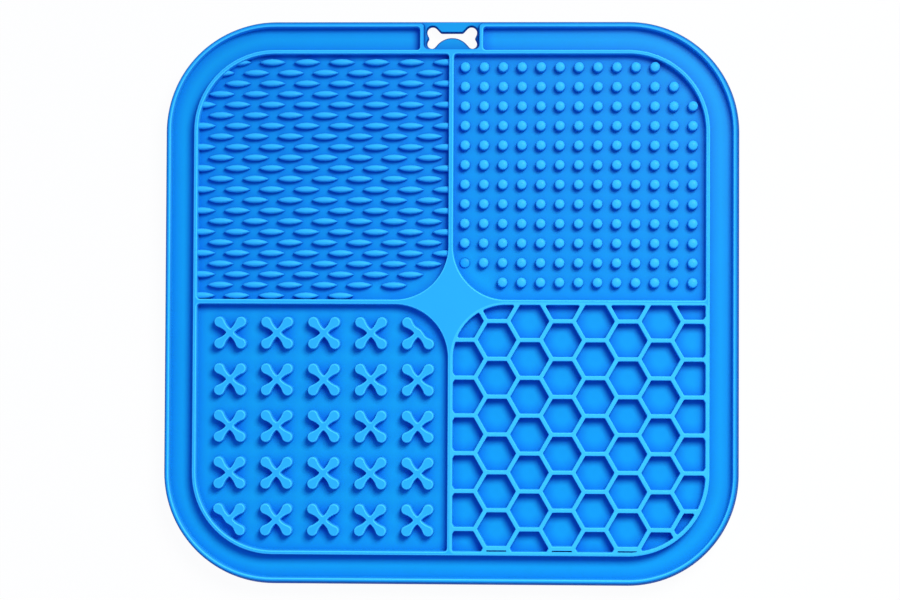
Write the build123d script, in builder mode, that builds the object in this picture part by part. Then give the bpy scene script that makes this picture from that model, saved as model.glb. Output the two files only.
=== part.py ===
"""A square silicone lick mat: four wells of different textures inside a lip and a gutter.

Units are millimetres. The origin is under the middle of the mat, on the surface that it stands on.
+X runs to the right, +Y towards the hanging tab and +Z up.
"""

import os
from math import atan2, ceil, cos, degrees, hypot, pi, radians, sin, sqrt

from build123d import *

# Overall sizes of the mat
mat_width = 200.0
mat_depth = 196.0
corner_radius = 38.5
sheet_thickness = 2.0
wall_height = 4.5
edge_chamfer = 0.5
overrun = 1.0

# Lip, gutter, ribs and star
lip_width = 2.4
gutter_width = 7.6
rib_width = 1.8
star_radius = 18.5

# Hanging tab and its bone-shaped hole
tab_width = 19.1
tab_rib_width = 1.5
bone_width = 17.7
bone_height = 7.85
bone_edge_margin = 1.7

# Points of half the bone, as shares of half its width and of its height
waist_shares = (0.46, 0.72)
upper_lobe_shares = (0.75, 1.0)
notch_shares = (0.91, 0.49)
lower_lobe_shares = (1.0, 0.24)
foot_shares = (0.67, 0.05)
arch_shares = (0.0, 0.47)

# Almond ridges, in staggered rows that start at the divider
ridge_length = 9.2
ridge_width = 2.3
ridge_height = 2.4
ridge_draft = 12.0
ridge_shoulder_share = 0.46
ridge_row_pitch = 3.7
ridge_column_pitch = 12.13
ridge_row_margin = 2.65
odd_row_start = 1.95
even_row_start = 7.65

# Round nubs, on a grid that sits a little off the middle of their well
nub_diameter = 3.8
nub_height = 2.8
low_nub_height = 1.0
nub_draft = 8.0
nub_sides = 6
nub_column_pitch = 6.58
nub_row_pitch = 6.81
nub_grid_shift = (-0.25, 0.85)

# Cross studs, on a grid that sits a little off the middle of their well
stud_column_pitch = 16.35
stud_row_pitch = 16.2
stud_height = 3.4
stud_reach = 5.3
stud_lobe_radius = 1.8
stud_waist = 1.95
stud_lobe_sweep = 220.0
stud_lobe_steps = 3
stud_grid_shift = (0.65, 0.3)

# Honeycomb
comb_pitch = 13.08
comb_wall = 1.45
comb_height = 4.4
comb_first_wall = 5.62

# What crowds the star is moulded low or left out
star_clear_height = 12.0
ridge_star_clearance = 3.0
nub_star_clearance = 2.0

# Suction cups on the underside
cup_count = 3
cup_pitch = 60.0
cup_radius = 13.0
cup_height = 3.5
cup_rim_land = 1.2
cup_rim_edge = 0.6
cup_dome = 1.9
cup_stem_radius = 5.0
cup_stem_height = 0.9
cup_sides = 12

# Places worked out from those sizes
floor_z = cup_height + sheet_thickness
floor = Plane.XY.offset(floor_z)
half_rib = rib_width / 2
frame_inset = lip_width + gutter_width
well_inset = frame_inset + rib_width
well_far_x = mat_width / 2 - well_inset
well_far_y = mat_depth / 2 - well_inset
well_width = well_far_x - half_rib
well_depth = well_far_y - half_rib
well_x = half_rib + well_width / 2
well_y = half_rib + well_depth / 2
well_radius = corner_radius - well_inset
star_reach = half_rib + star_radius
tab_half = tab_width / 2 + tab_rib_width

os.makedirs("parts", exist_ok=True)


def keep(part, label):
    """Name a finished piece and write it to its own file."""
    part.label = label
    export_step(part, f"parts/{label}.step")


def rounded_outline(inset, mode=Mode.ADD):
    """The mat's rounded outline, moved inwards by the inset."""
    width = mat_width - 2 * inset
    depth = mat_depth - 2 * inset
    RectangleRounded(width, depth, corner_radius - inset, mode=mode)


def rectangle_between(low, high, mode=Mode.ADD):
    """A rectangle given by its lower left and upper right corners."""
    with Locations(((low[0] + high[0]) / 2, (low[1] + high[1]) / 2)):
        Rectangle(high[0] - low[0], high[1] - low[1], mode=mode)


def well_plan(side_x, side_y):
    """One well: a rectangle with a round corner at the star and another at the mat's corner."""
    with BuildSketch() as well:
        with Locations((side_x * well_x, side_y * well_y)):
            Rectangle(well_width, well_depth)
        fillet(well.vertices().sort_by_distance((0, 0, 0))[0], star_radius)
        fillet(well.vertices().sort_by_distance((0, 0, 0))[-1], well_radius)
    return well.sketch


def inside_well(x, y, margin):
    """Whether a point, measured from the mat's middle, lies in a well by at least the margin."""
    x = abs(x)
    y = abs(y)
    if not half_rib + margin <= x <= well_far_x - margin:
        return False
    if not half_rib + margin <= y <= well_far_y - margin:
        return False
    past_x = x - (well_far_x - well_radius)
    past_y = y - (well_far_y - well_radius)
    if past_x > 0 and past_y > 0 and hypot(past_x, past_y) > well_radius - margin:
        return False
    short_x = star_reach - x
    short_y = star_reach - y
    return short_x <= 0 or short_y <= 0 or hypot(short_x, short_y) <= star_radius - margin


def star_gap(x, y):
    """Clear distance from a point in a well to the star's hollow flank, or to the flank's ends."""
    x = abs(x)
    y = abs(y)
    if x < star_reach and y < star_reach:
        return star_radius - hypot(star_reach - x, star_reach - y)
    return min(hypot(x - star_reach, y - half_rib), hypot(x - half_rib, y - star_reach))


def sheet_blank():
    """The whole sheet, with its lower edge broken."""
    with BuildSketch(Plane.XY.offset(cup_height)) as plan:
        rounded_outline(0)
    extrude(plan.sketch, amount=sheet_thickness)
    chamfer(edges().group_by(Axis.Z)[0], edge_chamfer)


def tab_block(mode):
    """The stretch of sheet under the hanging tab and its ribs, as an upright block."""
    with BuildSketch(Plane.XY.offset(cup_height - overrun)) as plan:
        rectangle_between((-tab_half, well_far_y), (tab_half, mat_depth / 2 + overrun))
    extrude(plan.sketch, amount=sheet_thickness + 2 * overrun, mode=mode)


# Base sheet, with a bay for the hanging tab
with BuildPart() as base_sheet:
    sheet_blank()
    tab_block(Mode.SUBTRACT)
keep(base_sheet.part, "base_sheet")


# Hanging tab
def bone_point(shares):
    """A point of the bone's right half, from its shares of the half width and the height."""
    foot_y = mat_depth / 2 - bone_edge_margin - bone_height
    return (shares[0] * bone_width / 2, foot_y + shares[1] * bone_height)


waist = bone_point(waist_shares)
notch = bone_point(notch_shares)
foot = bone_point(foot_shares)

with BuildPart() as hang_tab:
    sheet_blank()
    tab_block(Mode.INTERSECT)
    with BuildSketch(Plane.XY.offset(cup_height - overrun)):
        with BuildLine():
            Line((-waist[0], waist[1]), waist)
            upper_lobe = ThreePointArc(waist, bone_point(upper_lobe_shares), notch)
            lower_lobe = ThreePointArc(notch, bone_point(lower_lobe_shares), foot)
            ThreePointArc(foot, bone_point(arch_shares), (-foot[0], foot[1]))
            mirror(upper_lobe, about=Plane.YZ)
            mirror(lower_lobe, about=Plane.YZ)
        make_face()
    extrude(amount=sheet_thickness + 2 * overrun, mode=Mode.SUBTRACT)
keep(hang_tab.part, "hang_tab")

# Outer lip, open across the hanging tab
with BuildPart() as outer_lip:
    with BuildSketch(floor):
        rounded_outline(0)
        rounded_outline(lip_width, Mode.SUBTRACT)
    extrude(amount=wall_height)
    chamfer(faces().sort_by(Axis.Z)[-1].outer_wire().edges(), edge_chamfer)
    with BuildSketch(floor):
        rectangle_between((-tab_half, well_far_y), (tab_half, mat_depth / 2 + overrun))
    extrude(amount=wall_height + overrun, mode=Mode.SUBTRACT)
keep(outer_lip.part, "outer_lip")

# Ribs that close the gutter on both sides of the hanging tab
for side, label in ((-1, "tab_rib_left"), (1, "tab_rib_right")):
    with BuildPart() as tab_rib:
        with BuildSketch(floor):
            inner = min(side * tab_width / 2, side * tab_half)
            outer = max(side * tab_width / 2, side * tab_half)
            rectangle_between((inner, mat_depth / 2 - frame_inset), (outer, mat_depth / 2))
        extrude(amount=wall_height)
        top_edges = edges().filter_by(Axis.X).group_by(Axis.Z)[-1]
        chamfer(top_edges.sort_by(Axis.Y)[-1], edge_chamfer)
    keep(tab_rib.part, label)

# Inner rib, all the way round the wells
with BuildPart() as inner_rib:
    with BuildSketch(floor):
        rounded_outline(frame_inset)
        rounded_outline(well_inset, Mode.SUBTRACT)
    extrude(amount=wall_height)
keep(inner_rib.part, "inner_rib")

# Dividers between the wells, from the star's points to the inner rib
divider_corners = {
    "divider_rib_top": ((-half_rib, star_reach), (half_rib, well_far_y)),
    "divider_rib_bottom": ((-half_rib, -well_far_y), (half_rib, -star_reach)),
    "divider_rib_left": ((-well_far_x, -half_rib), (-star_reach, half_rib)),
    "divider_rib_right": ((star_reach, -half_rib), (well_far_x, half_rib)),
}
for label, (low, high) in divider_corners.items():
    with BuildPart() as divider_rib:
        with BuildSketch(floor):
            rectangle_between(low, high)
        extrude(amount=wall_height)
    keep(divider_rib.part, label)

# Star plate, left where the four wells round off at the middle
ridge_well = well_plan(-1, 1)
nub_well = well_plan(1, 1)
stud_well = well_plan(-1, -1)
comb_well = well_plan(1, -1)

with BuildPart() as centre_star:
    with BuildSketch(floor):
        Rectangle(2 * star_reach, 2 * star_reach)
        for well in (ridge_well, nub_well, stud_well, comb_well):
            add(well, mode=Mode.SUBTRACT)
    extrude(amount=wall_height)
keep(centre_star.part, "centre_star")


# Almond ridges of the upper left well
def ridge_stays(x, y):
    """A ridge is kept if enough of it lies in the well and, low down, if it is clear of the star."""
    towards_middle = -1 if abs(x) > well_x else 1
    quarter_x = abs(x) + towards_middle * ridge_length / 4
    star_tip_x = max(abs(x) - ridge_length / 2, 0)
    crowded = y < star_clear_height and star_gap(star_tip_x, y) < ridge_star_clearance
    return inside_well(quarter_x, y, 0) and not crowded


def ridge_is_whole(x, y):
    """Whether neither tip of a ridge is cut off by a wall of the well."""
    half = ridge_length / 2
    tips = (x - half, x + half)
    sides = (y - ridge_width / 2, y + ridge_width / 2)
    return max(tips) < 0 and all(inside_well(tip, side, 0) for tip in tips for side in sides)


whole_ridge_places = []
cut_ridge_places = []
ridge_row_count = int((well_depth - ridge_row_margin - ridge_width / 2) / ridge_row_pitch) + 1
for row in range(ridge_row_count):
    row_y = well_far_y - ridge_row_margin - row * ridge_row_pitch
    row_start = even_row_start if row % 2 else odd_row_start
    for column in range(ceil(well_width / ridge_column_pitch) + 1):
        ridge_x = -row_start - column * ridge_column_pitch
        if ridge_stays(ridge_x, row_y):
            whole = ridge_is_whole(ridge_x, row_y)
            (whole_ridge_places if whole else cut_ridge_places).append((ridge_x, row_y))

shoulder = ridge_shoulder_share * ridge_length / 2
ridge_points = [
    (ridge_length / 2, 0),
    (shoulder, ridge_width / 2),
    (-shoulder, ridge_width / 2),
    (-ridge_length / 2, 0),
    (-shoulder, -ridge_width / 2),
    (shoulder, -ridge_width / 2),
]

with BuildPart() as almond_ridges:
    with BuildSketch(floor):
        with Locations(*cut_ridge_places):
            Polygon(*ridge_points)
    extrude(amount=ridge_height, taper=ridge_draft)
    extrude(ridge_well.moved(Location(floor)), amount=wall_height, mode=Mode.INTERSECT)
    with BuildSketch(floor):
        with Locations(*whole_ridge_places):
            Polygon(*ridge_points)
    extrude(amount=ridge_height, taper=ridge_draft)
keep(almond_ridges.part, "almond_ridges")

# Round nubs of the upper right well
nub_radius = nub_diameter / 2
nub_columns = int((well_width - nub_diameter) / nub_column_pitch) + 1
nub_rows = int((well_depth - nub_diameter) / nub_row_pitch) + 1
nub_places = []
low_nub_places = []
for row in range(nub_rows):
    for column in range(nub_columns):
        nub_x = well_x + (column - (nub_columns - 1) / 2) * nub_column_pitch + nub_grid_shift[0]
        nub_y = well_y + (row - (nub_rows - 1) / 2) * nub_row_pitch + nub_grid_shift[1]
        if not inside_well(nub_x, nub_y, nub_radius):
            continue
        if star_gap(nub_x, nub_y) - nub_radius > nub_star_clearance:
            nub_places.append((nub_x, nub_y))
        elif nub_y > star_clear_height:
            low_nub_places.append((nub_x, nub_y))

with BuildPart() as round_nubs:
    for places, height in ((nub_places, nub_height), (low_nub_places, low_nub_height)):
        if places:
            with BuildSketch(floor):
                with Locations(*places):
                    RegularPolygon(nub_radius, nub_sides)
            extrude(amount=height, taper=nub_draft)
keep(round_nubs.part, "round_nubs")


# Cross studs of the lower left well
def stud_outline(centre_x, centre_y):
    """Four arms with round lobes, on the diagonals; an arm whose lobe doesn't fit is left out."""
    crotch = stud_waist / sqrt(2)
    points = []
    for arm in range(4):
        arm_angle = 45 + 90 * arm
        crotch_angle = radians(arm_angle - 45)
        points.append((centre_x + crotch * cos(crotch_angle), centre_y + crotch * sin(crotch_angle)))
        lobe_x = centre_x + stud_reach * cos(radians(arm_angle))
        lobe_y = centre_y + stud_reach * sin(radians(arm_angle))
        if not inside_well(lobe_x, lobe_y, stud_lobe_radius):
            continue
        for step in range(stud_lobe_steps + 1):
            turn = radians(arm_angle + stud_lobe_sweep * (step / stud_lobe_steps - 1 / 2))
            points.append((lobe_x + stud_lobe_radius * cos(turn), lobe_y + stud_lobe_radius * sin(turn)))
    return points


stud_span = sqrt(2) * stud_reach + 2 * stud_lobe_radius
stud_columns = int((well_width - stud_span) / stud_column_pitch) + 1
stud_rows = int((well_depth - stud_span) / stud_row_pitch) + 1

with BuildPart() as cross_studs:
    with BuildSketch(floor):
        for row in range(stud_rows):
            for column in range(stud_columns):
                stud_x = -well_x + (column - (stud_columns - 1) / 2) * stud_column_pitch + stud_grid_shift[0]
                stud_y = -well_y + (row - (stud_rows - 1) / 2) * stud_row_pitch + stud_grid_shift[1]
                Polygon(*stud_outline(stud_x, stud_y), align=None)
    extrude(amount=stud_height)
keep(cross_studs.part, "cross_studs")

# Honeycomb of the lower right well, as three families of walls that meet in mitred joints
comb_side = comb_pitch / sqrt(3)
comb_column_pitch = comb_side * 3 / 2
mitre = comb_wall / 2 / sqrt(3)
comb_wall_points = [
    (comb_side / 2, 0),
    (comb_side / 2 - mitre, comb_wall / 2),
    (mitre - comb_side / 2, comb_wall / 2),
    (-comb_side / 2, 0),
    (mitre - comb_side / 2, -comb_wall / 2),
    (comb_side / 2 - mitre, -comb_wall / 2),
]


def comb_cells():
    """Middles of the cells that cover the well, with odd columns half a cell lower."""
    columns = ceil(well_width / 2 / comb_column_pitch) + 1
    rows = ceil(well_depth / comb_pitch) + 1
    cells = []
    for column in range(-columns, columns):
        cell_x = well_x + (column + 1 / 2) * comb_column_pitch
        drop = comb_first_wall + (1 / 2 if column % 2 else 0) * comb_pitch
        for row in range(-1, rows):
            cells.append((cell_x, -half_rib - drop - row * comb_pitch))
    return cells


def comb_wall_places(normal_angle):
    """Places of the walls on one side of every cell, where some of the wall lies in the well."""
    places = []
    along = radians(normal_angle - 90)
    for cell_x, cell_y in comb_cells():
        wall_x = cell_x + comb_pitch / 2 * cos(radians(normal_angle))
        wall_y = cell_y + comb_pitch / 2 * sin(radians(normal_angle))
        for step in (-1 / 2, 0, 1 / 2):
            test_x = wall_x + step * comb_side * cos(along)
            test_y = wall_y + step * comb_side * sin(along)
            if test_x > 0 > test_y and inside_well(test_x, test_y, comb_wall / 2):
                places.append(Location((wall_x, wall_y), normal_angle - 90))
                break
    return places


comb_normals = {"comb_level_walls": 90, "comb_falling_walls": 30, "comb_rising_walls": -30}
for label, normal_angle in comb_normals.items():
    with BuildPart() as comb_walls:
        with BuildSketch(floor):
            with Locations(*comb_wall_places(normal_angle)):
                Polygon(*comb_wall_points)
            add(comb_well, mode=Mode.INTERSECT)
        extrude(amount=comb_height)
    keep(comb_walls.part, label)

# Suction cups: a short stem, a thin bell and a flat rim that meets the floor
cup_mouth_radius = cup_radius - cup_rim_land
cup_bell_height = cup_height - cup_stem_height - cup_rim_edge
flat_share = cos(pi / cup_sides)
bell_slope = degrees(atan2(flat_share * (cup_radius - cup_stem_radius), cup_bell_height))
hollow_slope = degrees(atan2(flat_share * (cup_mouth_radius - cup_stem_radius), cup_dome))

for row in range(cup_count):
    for column in range(cup_count):
        cup_x = (column - (cup_count - 1) / 2) * cup_pitch
        cup_y = (row - (cup_count - 1) / 2) * cup_pitch
        ground = Plane((cup_x, cup_y, 0))
        with BuildPart() as suction_cup:
            with BuildSketch(ground) as rim:
                RegularPolygon(cup_radius, cup_sides)
            extrude(rim.sketch, amount=cup_rim_edge)
            extrude(suction_cup.faces().sort_by(Axis.Z)[-1], amount=cup_bell_height, taper=bell_slope)
            with BuildSketch(ground.offset(cup_height)) as stem:
                RegularPolygon(cup_stem_radius, cup_sides)
            extrude(stem.sketch, amount=-cup_stem_height)
            with BuildSketch(ground) as mouth:
                RegularPolygon(cup_mouth_radius, cup_sides)
            extrude(mouth.sketch, amount=cup_dome, taper=hollow_slope, mode=Mode.SUBTRACT)
        keep(suction_cup.part, f"suction_cup_{row + 1}_{column + 1}")
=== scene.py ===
# %% [markdown]
# # A silicone lick mat
# The real mat is one shot of soft blue silicone. A lip and a gutter run round four wells, and each
# well holds another texture for a tongue to work at: almond ridges, round nubs, cross studs and a
# honeycomb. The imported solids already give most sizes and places, so this lesson only dresses them.
# Each step replaces some plain solids with a surface that has the draft, the rounded brows and the
# soft feet that a moulding has, and puts it where the solids are. The shadows in the photograph ask
# for ridges, nubs and studs somewhat taller than their solids, so those three get heights of their
# own.

# %% Load the solids as a fixed frame
from math import cos, pi, radians, sin, sqrt, tan

import bpy
import numpy as np
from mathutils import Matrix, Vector
from mathutils.geometry import delaunay_2d_cdt


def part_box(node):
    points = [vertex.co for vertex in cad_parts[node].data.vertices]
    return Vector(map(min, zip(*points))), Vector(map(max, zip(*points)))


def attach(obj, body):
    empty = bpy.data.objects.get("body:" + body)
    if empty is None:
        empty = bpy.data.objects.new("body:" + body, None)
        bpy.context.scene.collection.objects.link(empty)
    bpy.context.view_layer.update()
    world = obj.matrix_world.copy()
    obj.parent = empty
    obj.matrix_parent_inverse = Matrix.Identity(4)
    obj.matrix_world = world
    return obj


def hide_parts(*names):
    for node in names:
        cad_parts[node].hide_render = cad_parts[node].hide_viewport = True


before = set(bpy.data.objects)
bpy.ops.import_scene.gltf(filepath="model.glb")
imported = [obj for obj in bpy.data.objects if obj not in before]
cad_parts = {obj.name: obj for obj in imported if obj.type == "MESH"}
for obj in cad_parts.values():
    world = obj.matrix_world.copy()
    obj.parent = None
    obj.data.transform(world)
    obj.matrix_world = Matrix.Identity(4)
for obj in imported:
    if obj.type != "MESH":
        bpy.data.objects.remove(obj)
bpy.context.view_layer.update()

# %% [markdown]
# ## Sizes
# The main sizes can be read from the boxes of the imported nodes, so the dressed mat follows them. What
# a box can't tell, such as a radius or the pitch of a grid, is written down at the step that uses it.
# Lengths are in millimetres until a mesh is made, because a mould maker thinks in millimetres.

# %% Sizes read from the frame
mm = 0.001


def node_box(node):
    """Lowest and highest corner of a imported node, in millimetres."""
    low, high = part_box(node)
    return np.round(np.array(low) / mm, 3), np.round(np.array(high) / mm, 3)


sheet_low, sheet_high = node_box("base_sheet")
half_width, half_depth, floor_z = sheet_high
under_z = sheet_low[2]
top_z = node_box("outer_lip")[1][2]
frame_x, frame_y = node_box("inner_rib")[1][:2]
divider_low, divider_high = node_box("divider_rib_top")
half_rib, well_y = divider_high[:2]
star_reach = divider_low[1]
well_x = node_box("divider_rib_right")[1][0]
tab_inner = node_box("tab_rib_right")[0][0]
tab_outer = node_box("tab_rib_right")[1][0]

corner_radius = 38.5
lip_width = 2.4
star_radius = star_reach - half_rib
frame_radius = corner_radius - (half_width - frame_x)
well_radius = corner_radius - (half_width - well_x)
print(f"mat {2 * half_width:.0f} x {2 * half_depth:.0f} mm, floor at {floor_z}, tops at {top_z}")

# %% [markdown]
# ## Outlines as belts
# Every outline on the mat is made of arcs and straight runs that meet without a corner. One picture
# covers them all: a taut belt round a row of discs. A disc inside the belt gives an outer round, and
# a disc outside it, given a negative radius, gives a hollow one. The belt's normals come for nothing,
# and they are what carries a wall's section round the outline.

# %% The belt
arc_steps_per_radian = 3.0


def belt(discs, solid=False):
    """A taut belt round discs (x, y, signed radius), taken anticlockwise.

    Between two discs the belt runs at the angle of the line of centres, less the arc sine of the
    change of radius over the distance of the centres, so that it touches both. On a disc, the point
    is the centre less the radius times the normal, and the normal turns evenly.
    Gives the points and the normals that face the open air: inwards, or outwards if solid.
    """
    x, y, radius = np.array(discs, float).T
    dx, dy = np.roll(x, -1) - x, np.roll(y, -1) - y
    run = np.arctan2(dy, dx) - np.arcsin((np.roll(radius, -1) - radius) / np.hypot(dx, dy))
    start = np.roll(run, 1)
    side = np.sign(radius)
    slack = 0.01
    turn = side * ((side * (run - start) + slack) % (2 * pi) - slack)
    steps = np.ceil(np.abs(turn) * np.sqrt(np.abs(radius)) * arc_steps_per_radian).astype(int) + 1
    disc = np.repeat(np.arange(len(x)), steps)
    step = np.arange(len(disc)) - np.repeat(np.cumsum(steps) - steps, steps)
    angle = start[disc] + turn[disc] * step / np.maximum(steps[disc] - 1, 1)
    normal = np.stack([-np.sin(angle), np.cos(angle)], 1)
    point = np.stack([x[disc], y[disc]], 1) - radius[disc, None] * normal
    return (point[::-1], -normal[::-1]) if solid else (point, normal)


def rounded_box(low, high, radii):
    """Discs at the corners of a rectangle, anticlockwise from its lower left corner."""
    a, b, c, d = radii
    return [
        (low[0] + a, low[1] + a, a),
        (high[0] - b, low[1] + b, b),
        (high[0] - c, high[1] - c, c),
        (low[0] + d, high[1] - d, d),
    ]


outline = rounded_box((-half_width, -half_depth), (half_width, half_depth), [corner_radius] * 4)
print("outline:", len(belt(outline)[0]), "points")

# %% [markdown]
# ## Sections of walls
# A moulded wall isn't a sharp box: it leans back a few degrees so that it leaves the mould, it meets
# the floor in a small hollow, and its brow is round. That brow is what catches the light along every
# rib, and a painted highlight along it makes it lighter still. The section is two arcs whose normals
# turn from up to sideways and back to up again.

# %% The section
sink = 0.03
foot_steps, brow_steps = 5, 6
brow_fade = 0.2


def section(low_z, high_z, lean, foot, brow, shift=0.0, painted_flank_shade=False):
    """Offset, height, normal and painted light share of a wall's section, from its foot to its top.

    The flank passes through offset `shift` just below the brow and leans out by `lean` degrees
    towards its foot. A positive foot is a hollow quarter on a floor, a negative one a rounded lower
    edge, and zero a plain end. On each arc, point = centre - signed radius x normal. The painted
    light share is a painted highlight that rises from 0 to 1 and falls again along the brow. On a wall
    with painted_flank_shade it is negative instead, a painted shade by as much as the normal faces
    sideways.
    """
    lean = radians(lean)
    spring_z = high_z - brow
    foot_z = low_z + abs(foot)
    foot_offset = (foot - (foot_z - spring_z) * sin(lean)) / cos(lean)
    from_below = pi / 2 if foot > 0 else -pi / 2
    foot_turn = np.linspace(from_below, lean, foot_steps) if foot else np.array([lean])
    brow_turn = np.linspace(lean, pi / 2, brow_steps) if brow else np.array([lean])
    foot_arc = np.stack([foot_offset - foot * np.cos(foot_turn),
                         foot_z - foot * np.sin(foot_turn)], 1)
    brow_arc = np.stack([brow * (np.cos(brow_turn) - 1 / cos(lean)),
                         spring_z + brow * np.sin(brow_turn)], 1)
    turn = np.concatenate([foot_turn, brow_turn])
    place = np.concatenate([foot_arc, brow_arc]) + (shift, 0)
    # Painted highlight along the brow; on a wall with a painted flank shade, painted shade by how far
    # the normal faces sideways.
    along_brow = np.linspace(brow_fade, pi - brow_fade, len(brow_turn))
    painted_light = np.concatenate([np.zeros(len(foot_turn)), np.sqrt(np.sin(along_brow))])
    return np.column_stack([place, np.cos(turn), np.sin(turn), -np.cos(turn) if painted_flank_shade else painted_light])


rib_section = section(floor_z - sink, top_z, lean=2.5, foot=0.3, brow=0.45, shift=-0.1)
print("rib section:", len(rib_section), "points, foot", round(rib_section[0, 0], 2), "mm out")

# %% [markdown]
# ## Plates
# A plate is a flat top with walls round its edge and round its openings. Carrying the section along
# each belt gives the walls. The flat top and the hidden underside are what lies between the rings,
# and a constrained Delaunay triangulation fills them. Every corner gets its exact normal, so a flat
# top stays flat to the eye right up to its brow.

# %% Carry a section along a path


def sweep(path, profile):
    """Wall: point (i, j) = path point i + normal i x offset j, at height j, as a grid of quads.

    A path normal shorter than 1 squeezes the section across the wall. Each corner of a quad carries
    four numbers: its normal, which a squeeze tilts outwards, and its painted light share.
    """
    point, normal = path
    offset, height, out, up, painted_light = profile.T
    flat = point[:, None] + normal[:, None] * offset[None, :, None]
    points = np.concatenate([flat, np.broadcast_to(height[None, :, None], flat.shape[:2] + (1,))], 2)
    across = normal[:, None] / (normal ** 2).sum(1)[:, None, None] * out[None, :, None]
    upright = np.broadcast_to(np.stack([up, painted_light], 1)[None], across.shape[:2] + (2,))
    corners = np.concatenate([across, upright], 2).reshape(-1, 4)
    count, rings = flat.shape[:2]
    i, j = np.meshgrid(np.arange(count), np.arange(rings - 1), indexing="ij")
    after = (i + 1) % count
    quads = np.stack([i * rings + j, i * rings + j + 1, after * rings + j + 1, after * rings + j], 2)
    quads = quads.reshape(-1, 4)
    return points.reshape(-1, 3), quads.tolist(), corners[quads].reshape(-1, 4)


print("wall of the outline:", len(sweep(belt(outline, solid=True), rib_section)[1]), "quads")

# %% Fill the area between rings
merge_distance = 1e-7


def fill(rings):
    """Triangles, anticlockwise, of the area between closed rings of points.

    A triangle lies inside if a line from its middle to the right meets the rings an odd number of
    times.
    """
    flat = np.concatenate(rings)
    first = np.cumsum([0] + [len(ring) for ring in rings])
    edges = np.concatenate([np.stack([np.arange(a, b), np.roll(np.arange(a, b), -1)], 1)
                            for a, b in zip(first[:-1], first[1:])])
    made = delaunay_2d_cdt([Vector(p) for p in flat], edges.tolist(), [], 0, merge_distance)
    source = np.array([known[0] for known in made[3]])
    triangles = source[np.array(made[2])]
    middle = flat[triangles].mean(1)
    a, b = flat[edges[:, 0]], flat[edges[:, 1]]
    rise = np.where(a[:, 1] == b[:, 1], 1, b[:, 1] - a[:, 1])
    spans = (a[:, 1] > middle[:, 1:]) != (b[:, 1] > middle[:, 1:])
    meets = a[:, 0] + (middle[:, 1:] - a[:, 1]) * (b[:, 0] - a[:, 0]) / rise
    inside = (spans & (middle[:, :1] < meets)).sum(1) % 2 == 1
    triangles = triangles[inside]
    one = flat[triangles[:, 1]] - flat[triangles[:, 0]]
    two = flat[triangles[:, 2]] - flat[triangles[:, 0]]
    clockwise = one[:, 0] * two[:, 1] - one[:, 1] * two[:, 0] < 0
    triangles[clockwise] = triangles[clockwise][:, ::-1]
    return triangles


print("area of the outline:", len(fill([belt(outline)[0]])), "triangles")

# %% Plates, turned shapes and copies


def plate(loops, pockets=(), top_painted_light=0.0):
    """Walls along (path, section) loops, with flat caps between their highest and lowest rings.

    A pocket is a loop that doesn't go through: its lowest ring has a floor of its own. The painted
    highlight share of the flat top is top_painted_light.
    """
    through, loops = len(loops), [*loops, *pockets]
    points, faces, corners = join([sweep(path, profile) for path, profile in loops])
    sizes = [len(path[0]) * len(profile) for path, profile in loops]
    starts = np.cumsum([0] + sizes[:-1])
    lowest = [start + np.arange(0, size, len(profile))
              for start, size, (_, profile) in zip(starts, sizes, loops)]
    highest = [ring + len(profile) - 1 for ring, (_, profile) in zip(lowest, loops)]
    caps = [(highest, 1, top_painted_light), (lowest[:through], -1, 0)]
    caps += [([ring], 1, 0) for ring in lowest[through:]]
    for rings, up, painted_light in caps:
        triangles = fill([points[ring, :2] for ring in rings])[:, ::up]
        faces += np.concatenate(rings)[triangles].tolist()
        corners = np.concatenate([corners, np.tile((0, 0, up, painted_light), (triangles.size, 1))])
    return points, faces, corners


def turned(profile, sides, centre=(0.0, 0.0)):
    """A profile turned about the upright axis through a centre, closed by a flat face at each end."""
    angle = -np.arange(sides) * 2 * pi / sides
    ring = np.stack([np.cos(angle), np.sin(angle)], 1)
    points, faces, corners = sweep((ring * 0 + centre, ring), profile)
    first = np.arange(sides) * len(profile)
    faces += [(first + len(profile) - 1)[::-1].tolist(), first.tolist()]
    flat = np.repeat([(0, 0, 1, profile[-1, 4]), (0, 0, -1, 0)], sides, axis=0)
    return points, faces, np.concatenate([corners, flat])


def repeat(shape, places):
    """Copies of a shape, moved to each place."""
    points, faces, corners = shape
    places = np.asarray(places, float)
    moved = (points[None] + places[:, None]).reshape(-1, 3)
    copies = [[corner + len(points) * k for corner in face]
              for k in range(len(places)) for face in faces]
    return moved, copies, np.tile(corners, (len(places), 1))


def join(shapes):
    """Several shapes as one, with their corners renumbered."""
    first = np.cumsum([0] + [len(points) for points, _, _ in shapes])
    faces = [[corner + start for corner in face]
             for start, shape in zip(first, shapes) for face in shape[1]]
    return np.concatenate([s[0] for s in shapes]), faces, np.concatenate([s[2] for s in shapes])


rib_plate = plate([(belt(outline, solid=True), rib_section)])
print("plate of the outline:", len(rib_plate[0]), "points,", len(rib_plate[1]), "faces")

# %% Make a piece


def add_piece(name, shape, *nodes):
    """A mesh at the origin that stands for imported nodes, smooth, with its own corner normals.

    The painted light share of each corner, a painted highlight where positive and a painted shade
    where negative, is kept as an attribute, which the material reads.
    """
    points, faces, corners = shape
    mesh = bpy.data.meshes.new(name)
    mesh.from_pydata((points * mm).tolist(), [], faces)
    mesh.shade_smooth()
    mesh.normals_split_custom_set(corners[:, :3].tolist())
    painted_light = mesh.attributes.new("painted_light", "FLOAT", "CORNER")
    painted_light.data.foreach_set("value", corners[:, 3].astype(np.float32))
    mesh.materials.append(silicone)
    piece = bpy.data.objects.new(name, mesh)
    bpy.context.scene.collection.objects.link(piece)
    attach(piece, "root")
    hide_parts(*nodes)
    print(f"{name}: {len(points)} points, {len(faces)} faces, stands for {len(nodes)} nodes")
    return piece
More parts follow.
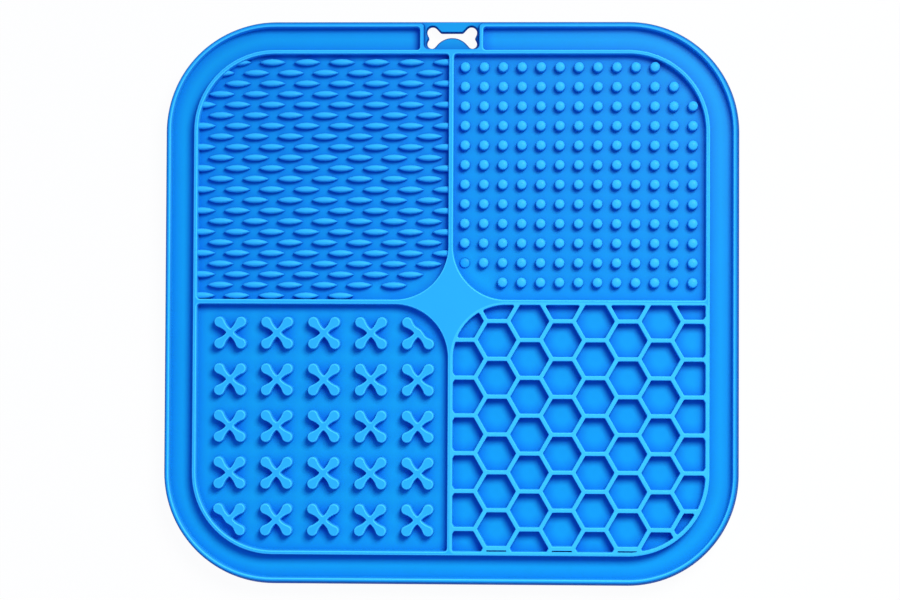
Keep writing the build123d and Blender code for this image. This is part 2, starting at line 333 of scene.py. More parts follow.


# %% [markdown]
# ## Silicone
# Such mats are usually pressed from silicone, coloured through, in a mould with a fine blasted face.
# To the eye that is a strong even colour, a soft satin gloss with no mirror in it and a faint grain.
# The real grain is finer than a pixel, so it is drawn as coarse as it needs to show. Light and shade
# are painted into the colour as well: raised walls are painted lighter by height, an attribute that
# every section carries gives a painted highlight on the brows and a painted shade on the flanks round
# the outside and in the hole, which are also matt, and ambient occlusion gives painted shade in the
# creases. Two noises give the grain and the slight unevenness of the pigment.

# %% Colours and nodes


def linear(hex_colour):
    """Linear red, green, blue and alpha of an sRGB hex colour."""
    srgb = np.array([int(hex_colour[k:k + 2], 16) for k in (1, 3, 5)]) / 255
    light = np.where(srgb <= 0.04045, srgb / 12.92, ((srgb + 0.055) / 1.055) ** 2.4)
    return (*light.tolist(), 1.0)


def add_node(tree, kind, links=(), values=(), **settings):
    """A node of that kind, with its settings, its unlinked values and its links from other sockets."""
    made = tree.nodes.new(kind)
    for name, value in settings.items():
        setattr(made, name, value)
    for socket, value in values:
        made.inputs[socket].default_value = value
    for socket, source in links:
        tree.links.new(source, made.inputs[socket])
    return made


print("linear white:", linear("#FFFFFF"))

# %% The silicone's colour
floor_colour = "#129EE0"
# painted shade: creases darken towards this colour by ambient occlusion
painted_crease_shade_colour = "#0050CC"
# painted light: raised parts take this lighter colour, by their height
painted_top_light_colour = "#2AAEF6"
# painted highlight: brows take this lighter colour
painted_highlight_colour = "#46CEFF"
# painted shade: sideways flanks take this darker colour
painted_flank_shade_colour = "#0060B4"
painted_crease_shade_reach = 4.0
painted_top_light_rise = 2.0
pigment_patch = 9.0
pigment_spread = 0.03

silicone = bpy.data.materials.new("silicone_pressed_satin_blue")
silicone.use_nodes = True
tree = silicone.node_tree
shader = tree.nodes["Principled BSDF"]
place = add_node(tree, "ShaderNodeTexCoord").outputs["Object"]
height = add_node(tree, "ShaderNodeSeparateXYZ", [("Vector", place)]).outputs["Z"]
# Painted light: the colour turns lighter with height above the floor, towards the top light colour.
share = add_node(tree, "ShaderNodeMapRange", [("Value", height)],
                 [("From Min", floor_z * mm), ("From Max", (floor_z + painted_top_light_rise) * mm)]).outputs["Result"]
# Painted shade: ambient occlusion darkens the floor colour towards the crease shade colour in creases.
open_share = add_node(tree, "ShaderNodeAmbientOcclusion", values=[("Distance", painted_crease_shade_reach * mm)],
                      samples=8).outputs["AO"]
tint = add_node(tree, "ShaderNodeMix", [(0, open_share)],
                [(6, linear(painted_crease_shade_colour)), (7, linear(floor_colour))], data_type="RGBA").outputs[2]
tint = add_node(tree, "ShaderNodeMix", [(0, share), (6, tint)], [(7, linear(painted_top_light_colour))],
                data_type="RGBA").outputs[2]
# Painted highlight: the attribute lightens the brows towards the highlight colour; its negative values
# give the painted flank shade below.
painted_light = add_node(tree, "ShaderNodeAttribute", attribute_name="painted_light").outputs["Fac"]
tint = add_node(tree, "ShaderNodeMix", [(0, painted_light), (6, tint)], [(7, linear(painted_highlight_colour))],
                data_type="RGBA").outputs[2]
# Painted shade: where the attribute is negative, sideways flanks darken towards the flank shade colour.
painted_flank_shade = add_node(tree, "ShaderNodeMath", [(0, painted_light)], [(1, -1.0)], operation="MULTIPLY").outputs[0]
tint = add_node(tree, "ShaderNodeMix", [(0, painted_flank_shade), (6, tint)], [(7, linear(painted_flank_shade_colour))],
                data_type="RGBA").outputs[2]
pigment = add_node(tree, "ShaderNodeTexNoise", [("Vector", place)],
                   [("Scale", 1 / (pigment_patch * mm)), ("Detail", 3.0)]).outputs["Fac"]
uneven = add_node(tree, "ShaderNodeMapRange", [("Value", pigment)],
                  [("To Min", 1 - pigment_spread), ("To Max", 1 + pigment_spread)]).outputs["Result"]
tint = add_node(tree, "ShaderNodeHueSaturation",
                [("Color", tint), ("Value", uneven)]).outputs["Color"]
tree.links.new(tint, shader.inputs["Base Color"])
print("colour:", len(tree.nodes), "nodes")

# %% The silicone's gloss and grain
silicone_ior = 1.42
shine_level = 0.1
satin_roughness = (0.3, 0.4)
grain_size = 0.35
grain_depth = 0.05
grain_strength = 0.06

grain = add_node(tree, "ShaderNodeTexNoise", [("Vector", place)],
                 [("Scale", 1 / (grain_size * mm)), ("Detail", 2.0)]).outputs["Fac"]
gloss = add_node(tree, "ShaderNodeMapRange", [("Value", grain)],
                 [("To Min", satin_roughness[0]), ("To Max", satin_roughness[1])]).outputs["Result"]
tree.links.new(gloss, shader.inputs["Roughness"])
dimple = add_node(tree, "ShaderNodeBump", [("Height", grain)],
                  [("Strength", grain_strength), ("Distance", grain_depth * mm)]).outputs["Normal"]
tree.links.new(dimple, shader.inputs["Normal"])
shine = add_node(tree, "ShaderNodeMapRange", [("Value", painted_flank_shade)],
                 [("To Min", shine_level), ("To Max", 0.0)]).outputs["Result"]
tree.links.new(shine, shader.inputs["Specular IOR Level"])
shader.inputs["IOR"].default_value = silicone_ior
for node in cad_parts.values():
    node.data.materials.clear()
    node.data.materials.append(silicone)
print("material:", silicone.name, "with", len(tree.nodes), "nodes")

# %% [markdown]
# ## Sheet and hanging tab
# The sheet is 2 mm thick and carries everything. Near the middle of its top edge a bone-shaped hole
# lets the mat hang from a hook. The bone is one belt: four lobes, a small disc in the notch at each
# end, two at the ends of the straight waist and one big one below. The hole narrows downwards, so its
# wall shows from above, and that wall is painted darker as shade, so it reads as a dark line. The
# sheet's edge leans out towards its foot and is painted darker as shade too, and the lip above runs
# on along the same slope.

# %% Sheet with its hanging hole
side_lean = 9.0
under_round = 0.5
sheet_brow = 0.3
side_slope = tan(radians(side_lean))
side_inset = -side_slope * (floor_z - under_z - under_round - sheet_brow)
sheet_path = belt(outline, solid=True)
# The sheet's edge is painted darker, a painted shade on its sideways flank.
sheet_side = section(under_z, floor_z, side_lean, -under_round, sheet_brow, side_inset, painted_flank_shade=True)

upper_lobe = (6.75, 94.2, 2.13)
lower_lobe = (7.08, 90.25, 1.78)
bone_notch = (8.62, 92.1, -0.45)
waist_end = (3.35, 95.0, -0.9)
arch = (0.0, 85.63, -6.6)
right_half = [lower_lobe, bone_notch, upper_lobe, waist_end]
left_half = [(-x, y, radius) for x, y, radius in reversed(right_half)]
bone_path = belt([*right_half, *left_half, arch])
# The hole's wall is painted darker, a painted shade on its sideways flank.
bone_side = section(under_z, floor_z, lean=16.0, foot=-0.2, brow=0.15, shift=-0.25, painted_flank_shade=True)
add_piece("sheet", plate([(sheet_path, sheet_side), (bone_path, bone_side)]), "base_sheet", "hang_tab")

# %% [markdown]
# ## Lip, ribs and star
# The lip, the two short ribs by the tab, the inner rib, the dividers and the star are one continuous
# wall on the real mat, so they are one plate here: an outer belt with a bay for the tab, a belt that
# goes round the C-shaped gutter, three wells, and a plain cut where the honeycomb's own plate fits.
# The cut runs along the middle of the ribs, where both tops are flat, so it can't be seen.

# %% The outside of the lip
lip_end = 2.0
rib_joint = 1.2
lip_brow = 0.9
bay_squeeze = 0.4
lip_skirt = 0.4
lip_inset = side_inset - side_slope * (top_z - lip_brow - floor_z + sheet_brow)

bay_x, bay_y = tab_inner + bay_squeeze * lip_inset, frame_y - bay_squeeze * lip_inset
tab_bay = [
    (bay_x + lip_end, half_depth - lip_end, lip_end),
    (bay_x - rib_joint, bay_y + rib_joint, -rib_joint),
    (rib_joint - bay_x, bay_y + rib_joint, -rib_joint),
    (-bay_x - lip_end, half_depth - lip_end, lip_end),
]
lip_points, lip_normals = belt([*outline[:3], *tab_bay, outline[3]], solid=True)
in_bay = (np.abs(lip_points[:, 0]) < bay_x + lip_end) & (lip_points[:, 1] > frame_y - rib_joint)
outward = np.where(lip_points[:, 1] > half_depth - lip_end, lip_normals[:, 1], 0)
squeeze = np.where(in_bay, bay_squeeze + (1 - bay_squeeze) * outward, 1)
lip_path = (lip_points, lip_normals * squeeze[:, None])
# The lip's outer flank is painted darker, a painted shade where it faces sideways.
lip_side = section(floor_z - lip_skirt, top_z, side_lean, 0, lip_brow, lip_inset, painted_flank_shade=True)
print("lip:", len(lip_points), "points,", in_bay.sum(), "of them in the bay")

# %% The gutter
gutter_joint = 1.0
rib_trim = 0.3
gutter_x, gutter_y = half_width - lip_width, half_depth - lip_width
gutter_outside = rounded_box((-gutter_x, -gutter_y), (gutter_x, gutter_y),
                             [corner_radius - lip_width] * 4)
rib_x, rib_y = frame_x - rib_trim, frame_y - rib_trim
gutter_inside = rounded_box((-rib_x, -rib_y), (rib_x, rib_y), [frame_radius - rib_trim] * 4)
gutter_back = [(x, y, -radius) for x, y, radius in reversed(gutter_inside)]
gutter_path = belt([
    *gutter_outside[:3],
    (tab_outer + gutter_joint, gutter_y - gutter_joint, gutter_joint),
    (tab_outer + gutter_joint, rib_y + gutter_joint, gutter_joint),
    *[gutter_back[k] for k in (1, 2, 3, 0)],
    (-tab_outer - gutter_joint, rib_y + gutter_joint, gutter_joint),
    (-tab_outer - gutter_joint, gutter_y - gutter_joint, gutter_joint),
    gutter_outside[3],
])
print("gutter:", len(gutter_path[0]), "points")

# %% The wells and the wall network
well_joint = 1.0


def well_discs(side_x, side_y, grow=0.0):
    """Discs of one well: a round corner at the star, another at the mat's corner, two small ones.

    Grown, the outline moves out into the ribs by that much.
    """
    near, far_x, far_y = half_rib - grow, well_x + grow, well_y + grow
    radii = [star_radius + grow, well_joint + grow, well_radius + grow, well_joint + grow]
    discs = np.array(rounded_box((near, near), (far_x, far_y), radii)) * (side_x, side_y, 1)
    return discs[::-1] if side_x * side_y < 0 else discs


comb_bay = belt(well_discs(1, -1, half_rib))
seam = section(floor_z - sink, top_z, 0, 0, 0)
network = plate([
    (lip_path, lip_side),
    (gutter_path, rib_section),
    (belt(well_discs(-1, 1)), rib_section),
    (belt(well_discs(1, 1)), rib_section),
    (belt(well_discs(-1, -1)), rib_section),
    (comb_bay, seam),
])
add_piece("lip_ribs_and_star", network, "outer_lip", "tab_rib_left", "tab_rib_right", "inner_rib",
          "divider_rib_top", "divider_rib_bottom", "divider_rib_left", "divider_rib_right",
          "centre_star")

# %% [markdown]
# ## Honeycomb
# Each cell is a hexagon cut off by the well's outline, which is convex, so a cell is the area that
# lies inside a handful of straight lines. The corners are found by crossing every line with every
# other and keeping the points that break no line. Moving all lines in by a radius first gives the
# centres of the discs for that cell's belt. A sliver that is too narrow for that radius gets a smaller
# one, and is only a slot that doesn't reach the floor.

# %% Areas between straight lines
tolerance = 1e-6
least_side = 0.02


def corners_within(normals, reach):
    """Corners, anticlockwise, of the area where normal . point <= reach for every line."""
    one, two = np.triu_indices(len(reach), 1)
    cross = normals[one, 0] * normals[two, 1] - normals[one, 1] * normals[two, 0]
    meet = abs(cross) > tolerance
    one, two, cross = one[meet], two[meet], cross[meet]
    x = (reach[one] * normals[two, 1] - reach[two] * normals[one, 1]) / cross
    y = (normals[one, 0] * reach[two] - normals[two, 0] * reach[one]) / cross
    points = np.stack([x, y], 1)
    points = points[(points @ normals.T <= reach + tolerance).all(1)]
    if len(points) < 3:
        return points
    middle = points.mean(0)
    points = points[np.argsort(np.arctan2(points[:, 1] - middle[1], points[:, 0] - middle[0]))]
    apart = np.hypot(*(points - np.roll(points, 1, 0)).T)
    return points[apart > least_side]


def tangents(centre, radius, first, last, count=16):
    """Normals and reaches of lines that touch an arc from the first angle to the last, in degrees."""
    angle = np.radians(np.linspace(first, last, count))
    normals = np.stack([np.cos(angle), np.sin(angle)], 1)
    return normals, normals @ np.array(centre) + radius


star_lines = tangents((star_reach, -star_reach), star_radius, 90, 180)
far_lines = tangents((well_x - well_radius, well_radius - well_y), well_radius, -90, 0)
side_lines = (np.array([(1.0, 0.0), (0.0, -1.0)]), np.array([well_x, well_y]))
well_normals = np.concatenate([star_lines[0], far_lines[0], side_lines[0]])
well_reach = np.concatenate([star_lines[1], far_lines[1], side_lines[1]])
print("well of the honeycomb:", len(well_reach), "lines")

# %% The honeycomb
comb_pitch = 13.08
comb_wall = 1.45
comb_first_wall = 5.62
comb_side = comb_pitch / sqrt(3)
cell_radius = 0.5
slot_radius = 0.15
slot_depth = 3.0
# Painted highlight on the comb's flat top.
comb_top_painted_light = 0.6
comb_section = section(floor_z - sink, top_z, lean=1.5, foot=0.2, brow=0.35)
slot_section = section(top_z - slot_depth, top_z, lean=1.0, foot=0, brow=0.1)
hexagon, hexagon_reach = tangents((0, 0), (comb_pitch - comb_wall) / 2, 30, 330, 6)

columns = np.arange(-4, 4)
rows = np.arange(-1, 8)
cell_x = np.repeat((half_rib + well_x) / 2 + (columns + 0.5) * comb_side * 1.5, len(rows))
drop = comb_first_wall + np.where(columns % 2, 0.5, 0) * comb_pitch
cell_y = (-half_rib - drop[:, None] - rows * comb_pitch).ravel()

cell_loops, slot_loops = [], []
cell_kinds = ((cell_radius, comb_section, cell_loops),
              (slot_radius, slot_section, slot_loops))
for x, y in zip(cell_x, cell_y):
    normals = np.concatenate([well_normals, hexagon])
    reach = np.concatenate([well_reach, hexagon_reach + hexagon @ (x, y)])
    for radius, profile, kind in cell_kinds:
        centres = corners_within(normals, reach - radius)
        if len(centres) >= 3:
            kind.append((belt([(*centre, radius) for centre in centres]), profile))
            break
comb_edge = belt(well_discs(1, -1, half_rib), solid=True)
honeycomb = plate([(comb_edge, seam), *cell_loops], slot_loops, top_painted_light=comb_top_painted_light)
add_piece("honeycomb", honeycomb, "comb_level_walls", "comb_rising_walls", "comb_falling_walls")
print("cells:", len(cell_loops), "and slots:", len(slot_loops))

# %% [markdown]
# ## Almond ridges
# A ridge is a lens in plan with a blunt back. Its section is half a squarish ellipse whose half width
# and height shrink towards both tips, so a grid of stations along it and steps round it makes the
# whole surface. Rows are staggered by half a pitch. A ridge that meets a wall stops in the middle of
# that wall, where its end is hidden.

# %% Walls of the wells


def near_wall(y):
    """Distance of the divider's face, or of the star's flank, from the middle line at that height."""
    short = np.clip(star_reach - y, 0, star_radius)
    return np.where(y < star_reach, star_reach - np.sqrt(star_radius ** 2 - short ** 2), half_rib)


def far_wall(y, grow=0.0):
    """Distance of the inner rib's face from the middle line at that height, round its corner too."""
    past = np.clip(y - (well_y - well_radius), 0, well_radius + grow)
    return well_x - well_radius + np.sqrt((well_radius + grow) ** 2 - past ** 2)


def star_gap(x, y):
    """Clear distance from a point of a well to the star's flank, or to the flank's ends."""
    beside = star_radius - np.hypot(star_reach - x, star_reach - y)
    past = np.minimum(np.hypot(x - star_reach, y - half_rib), np.hypot(x - half_rib, y - star_reach))
    return np.where((x < star_reach) & (y < star_reach), beside, past)


print("well, at its middle height, from", near_wall(well_y / 2), "to", far_wall(well_y / 2))

# %% Places of the ridges
ridge_length = 9.2
ridge_width = 2.3
row_pitch = 3.7
row_margin = 2.65
column_pitch = 12.13
ridges_per_row = 9
odd_row_start = 1.95
even_row_start = 7.65
star_clear_height = 12.0
ridge_star_clearance = 3.0

ridge_rows = np.arange(int((well_y - half_rib - row_margin - ridge_width / 2) / row_pitch) + 1)
row_start = np.where(ridge_rows % 2, even_row_start, odd_row_start)
ridge_x = (row_start[:, None] + np.arange(ridges_per_row) * column_pitch).ravel()
ridge_y = np.repeat(well_y - row_margin - ridge_rows * row_pitch, ridges_per_row)
towards_middle = np.where(ridge_x > (half_rib + well_x) / 2, -1, 1)
quarter = ridge_x + towards_middle * ridge_length / 4
in_well = (quarter > near_wall(ridge_y)) & (quarter < far_wall(ridge_y))
tip = np.maximum(ridge_x - ridge_length / 2, 0)
crowded = (ridge_y < star_clear_height) & (star_gap(tip, ridge_y) < ridge_star_clearance)
ridge_x, ridge_y = ridge_x[in_well & ~crowded], ridge_y[in_well & ~crowded]
print("ridges:", len(ridge_x), "in", len(ridge_rows), "rows")

# %% The ridges
ridge_height = 3.2
ridge_turns = (0, 20, 50, 90, 130, 160, 180)
# Painted highlight share round the ridge's section, strongest on its shoulders.
ridge_painted_light = (0.0, 0.3, 0.7, 0.1, 0.7, 0.3, 0.0)
ridge_bluntness = 5
tip_power = 0.85
back_power = 0.25


def ridge_range(x, y, across):
    """First and last share s of the half length, for each line along each ridge.

    A whole ridge runs from -1 to 1. A cut one ends in the middle of a wall, which may be round, so a
    line beside its spine ends a little sooner or later. Across is a line's share of the half width.
    """
    half = ridge_length / 2

    def share(wall):
        at_spine = np.clip((wall(y) - x) / half, -1, 1)
        beside = ridge_width / 2 * (1 - at_spine ** 2)[:, None] ** tip_power * across
        return np.clip((wall(y[:, None] + beside) - x[:, None]) / half, -1, 1)

    return (share(lambda at: -far_wall(at, half_rib)),
            share(lambda at: half_rib - near_wall(at)))


def ridge_shapes(x, y, stations=7):
    """Blunt half ellipses on lenses, each closed by a flat base, all ridges at once.

    At share s of the half length, half width = W (1 - s^2)^tip power and height = H (1 - s^2)^back
    power. Round the section, with bluntness n, across = half width x cos(t)^(2/n) and up = height x
    sin(t)^(2/n). The normal is the gradient of (across / half width)^n + (up / height)^n, and at a
    cut end it points along the ridge.
    """
    steps, half = len(ridge_painted_light), ridge_length / 2
    t, blunt = np.radians(ridge_turns), 2 / ridge_bluntness
    cosine, sine = np.sign(np.cos(t)) * np.abs(np.cos(t)) ** blunt, np.abs(np.sin(t)) ** blunt
    first, last = ridge_range(x, y, cosine)
    way = (1 + np.sin(np.linspace(-pi / 2, pi / 2, stations + 2)))[1:-1, None] / 2
    s = first[:, None] + (last - first)[:, None] * way
    wide = ridge_width / 2 * (1 - s ** 2) ** tip_power
    high = ridge_height * (1 - s ** 2) ** back_power
    x, y = x[:, None, None], y[:, None, None]
    grid = np.stack([x + s * half, y + wide * cosine, floor_z + high * sine - sink], 3)
    narrowing = 2 * s / (1 - s ** 2) / half
    lower = ridge_bluntness - 1
    gradient = np.stack([narrowing * (tip_power * np.abs(cosine) ** ridge_bluntness
                                      + back_power * sine ** ridge_bluntness),
                         np.sign(cosine) * cosine ** lower / wide, sine ** lower / high], 3)
    gradient /= np.linalg.norm(gradient, axis=3, keepdims=True)

    count = len(x)
    spine = steps // 2
    tip_x = x[:, 0] + half * np.stack([first[:, spine], last[:, spine]], 1)
    tips = np.stack([tip_x, y[:, 0] + 0 * tip_x, floor_z - sink + 0 * tip_x], 2)
    points = np.concatenate([grid.reshape(count, -1, 3), tips], 1)
    tip_normals = np.broadcast_to([(-1.0, 0.0, 0.0), (1.0, 0.0, 0.0)], (count, 2, 3))
    normals = np.concatenate([gradient.reshape(count, -1, 3), tip_normals], 1)
    # Painted highlight share of each point of the ridges; none at the tips.
    painted_light = np.concatenate([np.tile(ridge_painted_light, stations), (0, 0)])
    painted_light = np.broadcast_to(painted_light[:, None], (*points.shape[:2], 1))

    i, j = np.meshgrid(np.arange(stations - 1), np.arange(steps - 1), indexing="ij")
    back = np.stack([i * steps + j, i * steps + j + 1, (i + 1) * steps + j + 1, (i + 1) * steps + j], 2)
    ring, far_ring = np.arange(steps - 1), (stations - 1) * steps
    left = np.full(steps - 1, stations * steps)
    left_end = np.stack([left, ring + 1, ring], 1)
    right_end = np.stack([left + 1, far_ring + ring, far_ring + ring + 1], 1)
    side = np.arange(stations) * steps
    base = [stations * steps, *side.tolist(), stations * steps + 1, *(side[::-1] + steps - 1).tolist()]
    faces = back.reshape(-1, 4).tolist() + left_end.tolist() + right_end.tolist()
    used = np.concatenate([np.array(face) for face in faces])
    corners = np.concatenate([normals, painted_light], 2)[:, used]
    corners[first[:, spine] > -1, back.size:back.size + left_end.size, :3] = (-1, 0, 0)
    corners[last[:, spine] < 1, back.size + left_end.size:, :3] = (1, 0, 0)
    down = np.broadcast_to((0.0, 0.0, -1.0, 0.0), (count, len(base), 4))
    corners = np.concatenate([corners, down], 1)
    copies = [[corner + points.shape[1] * k for corner in face]
              for k in range(count) for face in [*faces, base]]
    return points.reshape(-1, 3), copies, corners.reshape(-1, 4)


add_piece("almond_ridges_soft", ridge_shapes(-ridge_x, ridge_y), "almond_ridges")

# %% [markdown]
# ## Round nubs
# A nub is a short drafted post with a domed top. One section turned about its own axis makes it, and
# broadcasting adds the whole grid of places at once. Twelve sides are enough for a post of 4 mm,
# because the normals round it off. The nub that crowds the star is moulded low.

# %% Places of the nubs
nub_radius = 1.9
nub_column_pitch = 6.58
nub_row_pitch = 6.81
nub_star_clearance = 2.0

column_count = int((well_x - half_rib - 2 * nub_radius) / nub_column_pitch) + 1
row_count = int((well_y - half_rib - 2 * nub_radius) / nub_row_pitch) + 1
nub_middle = (node_box("round_nubs")[0] + node_box("round_nubs")[1]) / 2
nub_x = nub_middle[0] + (np.arange(column_count) - (column_count - 1) / 2) * nub_column_pitch
nub_y = nub_middle[1] + (np.arange(row_count) - (row_count - 1) / 2) * nub_row_pitch
nub_x, nub_y = [grid.ravel() for grid in np.meshgrid(nub_x, nub_y)]
gap = star_gap(nub_x, nub_y)
fits = nub_x + nub_radius <= well_x
corner_x, corner_y = nub_x - (well_x - well_radius), nub_y - (well_y - well_radius)
fits &= (corner_x < 0) | (corner_y < 0) | (np.hypot(corner_x, corner_y) <= well_radius - nub_radius)
fits &= (gap >= nub_radius) | (nub_x > star_reach) | (nub_y > star_reach)
tall = fits & (gap - nub_radius > nub_star_clearance)
low = fits & ~tall & (nub_y > star_clear_height)
print("nubs:", tall.sum(), "tall and", low.sum(), "low")

# %% The nubs
nub_height = 3.6
low_nub_height = 1.0
nub_sides = 12
nub_dome = 1.1
nub_draft = 0.15
nub_bluntness = 2.5
nub_turns = (0, 18, 36, 54, 72, 84)
# Painted highlight share up the nub's dome.
nub_painted_light = (0.0, 0.0, 0.3, 0.6, 0.5, 0.4, 0.4)


def nub(height, light=1.0):
    """Post of that height with a blunt dome, and that share of the painted highlight.

    At angle t of the dome, with bluntness n, out = radius x cos(t)^(2/n) and up = dome x
    sin(t)^(2/n). The normal is the gradient of (out / radius)^n + (up / dome)^n.
    """
    radius, dome = nub_radius - nub_draft, min(nub_dome, height / 2)
    t, blunt = np.radians(nub_turns), 2 / nub_bluntness
    out, up = np.cos(t) ** blunt, np.sin(t) ** blunt
    lower = nub_bluntness - 1
    normal = np.stack([out ** lower / radius, up ** lower / dome], 1)
    normal /= np.linalg.norm(normal, axis=1, keepdims=True)
    top = np.column_stack([radius * out, height - dome + dome * up, normal])
    foot = (nub_radius, -sink, 1, 0)
    profile = np.column_stack([np.vstack([foot, top]), np.multiply(light, nub_painted_light)])
    return turned(profile, nub_sides)


def at_floor(x, y):
    """Places on the floor of the wells."""
    return np.stack([x, y, np.full(len(x), floor_z)], 1)


nubs = join([repeat(nub(nub_height), at_floor(nub_x[tall], nub_y[tall])),
             repeat(nub(low_nub_height, 0.0), at_floor(nub_x[low], nub_y[low]))])
add_piece("round_nubs_soft", nubs, "round_nubs")

# %% [markdown]
# ## Cross studs
# A stud is a belt again: four lobes on the diagonals, a small outside disc in each crotch and a wide
# one along each flank, so that an arm is slim at the crossing and flares towards its lobe. Where a
# lobe would run into a round wall the mould leaves that arm out, and only a small stump of it shows,
# so that lobe's disc shrinks to the stump.

# %% One stud
stud_height = 4.1
stud_reach = 3.75
lobe_radius = 1.8
neck_half = 0.9
flare_radius = 6.5
crotch_radius = 0.45
# Painted highlight on the studs' flat tops and, scaled down, on their brows.
stud_top_painted_light = 0.1
stud_brow_painted_light = 0.85
stump = (0.9, 0.6)
stump_hollow = (3.25, 2.6, 2.2)
stud_section = section(floor_z - sink, floor_z + stud_height, lean=4.0, foot=0.15, brow=0.5)
stud_section[:, 4] *= stud_brow_painted_light


def stud(missing=None):
    """Belt round four lobes, with a small hollow in each crotch and a wide one along each flank.

    A flank's hollow all but touches the lobe: the squares of its distances along and across the arm
    add up to the square of the sum of both radii. The missing arm, 0 to 3 from +X+Y, is a stump
    between two hollows, given by their distances along that diagonal and across it.
    """
    discs = []
    for arm in range(4):
        across, up = ((1, 1), (-1, 1), (-1, -1), (1, -1))[arm]
        if arm == missing:
            along, aside, hollow = stump_hollow
            u, v = np.array((across, up)) / sqrt(2), np.array((-up, across)) / sqrt(2)
            discs += [(*(along * u - aside * v), -hollow), (*(stump[0] * u), stump[1]),
                      (*(along * u + aside * v), -hollow)]
        else:
            discs.append((across * stud_reach, up * stud_reach, lobe_radius))
        if missing not in (arm, (arm + 1) % 4) or missing is None:
            ahead, beside = np.array((across, up)) / sqrt(2), np.array((-up, across)) / sqrt(2)
            aside = neck_half + flare_radius
            along = stud_reach * sqrt(2) - sqrt((flare_radius + lobe_radius + sink) ** 2 - aside ** 2)
            crotch = (neck_half + crotch_radius) * (ahead + beside)
            discs += [(*(along * ahead + aside * beside), -flare_radius), (*crotch, -crotch_radius),
                      (*(along * beside + aside * ahead), -flare_radius)]
    return plate([(belt(discs, solid=True), stud_section)], top_painted_light=stud_top_painted_light)


print("stud:", len(stud()[0]), "points")

# %% The grid of studs
stud_columns = stud_rows = 5
stud_column_pitch = 16.35
stud_row_pitch = 16.2
stud_middle = (node_box("cross_studs")[0] + node_box("cross_studs")[1]) / 2
stud_x = stud_middle[0] + (np.arange(stud_columns) - (stud_columns - 1) / 2) * stud_column_pitch
stud_y = stud_middle[1] + (np.arange(stud_rows) - (stud_rows - 1) / 2) * stud_row_pitch
stud_x, stud_y = [grid.ravel() for grid in np.meshgrid(stud_x, stud_y)]
by_star = (stud_x == stud_x.max()) & (stud_y == stud_y.max())
by_corner = (stud_x == stud_x.min()) & (stud_y == stud_y.min())
whole = ~by_star & ~by_corner


def in_plane(chosen):
    """Moves of studs from the origin, whose section already stands on the floor."""
    return np.stack([stud_x[chosen], stud_y[chosen], np.zeros(chosen.sum())], 1)


studs = join([repeat(stud(), in_plane(whole)), repeat(stud(0), in_plane(by_star)),
              repeat(stud(2), in_plane(by_corner))])
add_piece("cross_studs_soft", studs, "cross_studs")
print("studs:", len(stud_x))

# %% [markdown]
# ## Suction cups
# The photograph doesn't show the underside, so this step is a guess. Such mats often hold to the
# floor with suction cups: a short stem, a thin bell and a flat rim. The section is a smooth curve
# turned about each cup's axis, from the middle of the hollow out to the rim and back up to the stem.

# %% The cups
cup_sides, bell_steps, rim_steps = 48, 8, 6
hollow_start = 0.04
rim_land, rim_radius = 1.2, 0.3
cup_dome, hollow_power, bell_power = 1.9, 1.2, 1.3
stem_radius, stem_height, stem_shoulder = 5.0, 0.9, 0.3


def cup_profile(radius, height):
    """From the middle of the hollow to the rim, round it, up the bell and up the stem.

    Hollow: height = dome x cos(share of the way x 90 degrees)^hollow power. Bell: height above the
    rim = rise x (share of the way)^bell power.
    """
    way = np.linspace(hollow_start, 1, bell_steps)
    hollow = np.stack([way * (radius - rim_land),
                       cup_dome * np.cos(way * pi / 2) ** hollow_power], 1)
    turn = np.linspace(-pi / 2, pi / 2, rim_steps)
    rim = np.stack([radius - rim_radius * (1 - np.cos(turn)), rim_radius * (1 + np.sin(turn))], 1)
    rise = height - stem_height - 2 * rim_radius
    inwards = radius - rim_radius - stem_radius - stem_shoulder
    bell = np.stack([radius - rim_radius - way * inwards,
                     2 * rim_radius + rise * way ** bell_power], 1)
    stem = np.array([(stem_radius, height - stem_height / 2), (stem_radius, height + sink)])
    place = np.concatenate([hollow, rim, bell, stem])
    along = np.gradient(place, axis=0)
    along /= np.linalg.norm(along, axis=1, keepdims=True)
    return np.column_stack([place, along[:, 1], -along[:, 0], np.zeros(len(place))])


for node in [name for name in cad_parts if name.startswith("suction_cup")]:
    low, high = node_box(node)
    profile = cup_profile((high[0] - low[0]) / 2, high[2])
    cup = turned(profile, cup_sides, (low[:2] + high[:2]) / 2)
    add_piece(node.replace("suction_cup", "cup"), cup, node)

# %% [markdown]
# ## Stage, light and camera
# The mat lies on a plain white floor and is seen square from above through a long lens, a little from
# the lower right. One tall soft light stands nearly upright beyond the upper right corner, so that
# every wall throws its shadow down and to the left, and a weak bluish sky fills the shadows. Together
# they are about as strong as plain daylight on paper, so a colour renders about as it is written.

# %% Floor
floor_reach = 3.0
floor_glow = 0.96
paper_colour = "#F4F4F4"
floor_corners = [(-floor_reach, -floor_reach, 0), (floor_reach, -floor_reach, 0),
                 (floor_reach, floor_reach, 0), (-floor_reach, floor_reach, 0)]
floor_mesh = bpy.data.meshes.new("floor")
floor_mesh.from_pydata(floor_corners, [], [(0, 1, 2, 3)])
floor_object = bpy.data.objects.new("floor", floor_mesh)
bpy.context.scene.collection.objects.link(floor_object)

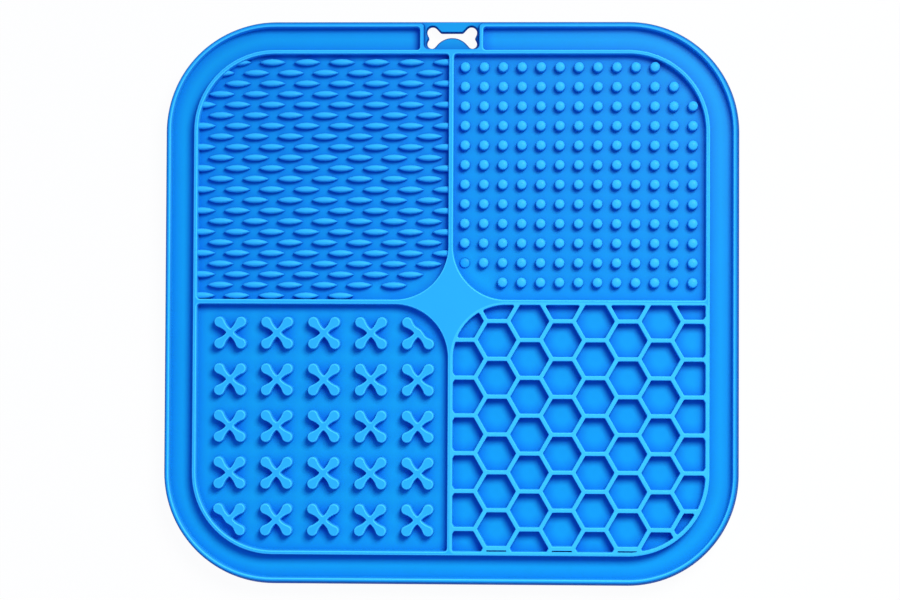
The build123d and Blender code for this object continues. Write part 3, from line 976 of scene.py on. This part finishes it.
paper = bpy.data.materials.new("white_paper_floor")
paper.use_nodes = True
tree = paper.node_tree
tree.nodes.clear()
light_path = add_node(tree, "ShaderNodeLightPath").outputs
seen = add_node(tree, "ShaderNodeMath",
                [(0, light_path["Is Camera Ray"]), (1, light_path["Is Glossy Ray"])],
                operation="MAXIMUM").outputs[0]
seen = add_node(tree, "ShaderNodeMath", [(0, seen), (1, light_path["Is Transmission Ray"])],
                operation="MAXIMUM").outputs[0]
glow_share = add_node(tree, "ShaderNodeMath", [(0, seen)], [(1, floor_glow)],
                      operation="MULTIPLY").outputs[0]
matt = add_node(tree, "ShaderNodeBsdfDiffuse", values=[("Color", linear(paper_colour))]).outputs[0]
glow = add_node(tree, "ShaderNodeEmission", values=[("Strength", 1.0)]).outputs[0]
mixed = add_node(tree, "ShaderNodeMixShader", [(0, glow_share), (1, matt), (2, glow)]).outputs[0]
add_node(tree, "ShaderNodeOutputMaterial", [("Surface", mixed)])
floor_mesh.materials.append(paper)
print("floor:", 2 * floor_reach, "m wide")

# %% Sky
sky_strength = 0.58
sky_colour = "#90B4FF"
sky = bpy.data.worlds.new("studio_sky")
bpy.context.scene.world = sky
sky.use_nodes = True
tree = sky.node_tree
tree.nodes.clear()
background = add_node(tree, "ShaderNodeBackground",
                      values=[("Color", linear(sky_colour)), ("Strength", sky_strength)]).outputs[0]
add_node(tree, "ShaderNodeOutputWorld", [("Surface", background)])
print("sky:", sky_colour, "at strength", sky_strength)

# %% Key light
key_place = Vector((0.245, 0.290, 0.720))
key_facing = Vector((-0.3, -0.95, -0.1))
key_width, key_height = 0.3, 0.6
key_power = 10.5
key_colour = "#FFFFEC"
key = bpy.data.lights.new("key_softbox", "AREA")
key.shape = "ELLIPSE"
key.size, key.size_y = key_width, key_height
key.energy = key_power
key.color = linear(key_colour)[:3]
key_object = bpy.data.objects.new("key_softbox", key)
key_object.location = key_place
key_object.rotation_euler = key_facing.to_track_quat("-Z", "Y").to_euler()
bpy.context.scene.collection.objects.link(key_object)
print("key light:", key_power, "W at", tuple(key_place))

# %% Camera
camera_place = (42.5, -27.4, 1000.0)
camera_turn = (1.636, 2.457, 0.258)
camera = bpy.data.cameras.new("camera")
camera.lens = 114.5
camera.sensor_width = 36.0
camera.clip_end = 20.0
camera_object = bpy.data.objects.new("camera", camera)
camera_object.location = Vector(camera_place) * mm
camera_object.rotation_euler = [radians(angle) for angle in camera_turn]
bpy.context.scene.collection.objects.link(camera_object)
bpy.context.scene.camera = camera_object
bpy.context.scene.view_settings.view_transform = "Standard"
print("camera at", tuple(camera_object.location), "lens", camera.lens)
